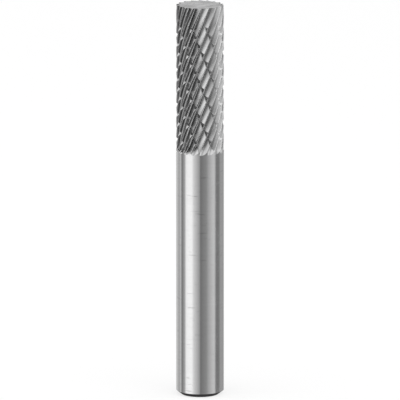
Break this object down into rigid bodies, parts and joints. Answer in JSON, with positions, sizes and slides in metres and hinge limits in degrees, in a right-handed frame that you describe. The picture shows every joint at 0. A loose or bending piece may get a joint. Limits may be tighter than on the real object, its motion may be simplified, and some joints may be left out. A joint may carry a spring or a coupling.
{
  "type": "carbide burr",
  "caption": "Slim rotary burr ground from one carbide rod: cylindrical double-cut head with a plain flat end on a plain round shank.",
  "frame": {"origin": "centre of the flat end of the shank", "axes": "+Z along the tool's axis from the shank's end to the head's plain end"},
  "size_m": [0.006, 0.006, 0.05],
  "materials": {
    "carbide": "ground"
  },
  "bodies": {
    "root": {"burr": "carbide"}
  },
  "joints": []
}
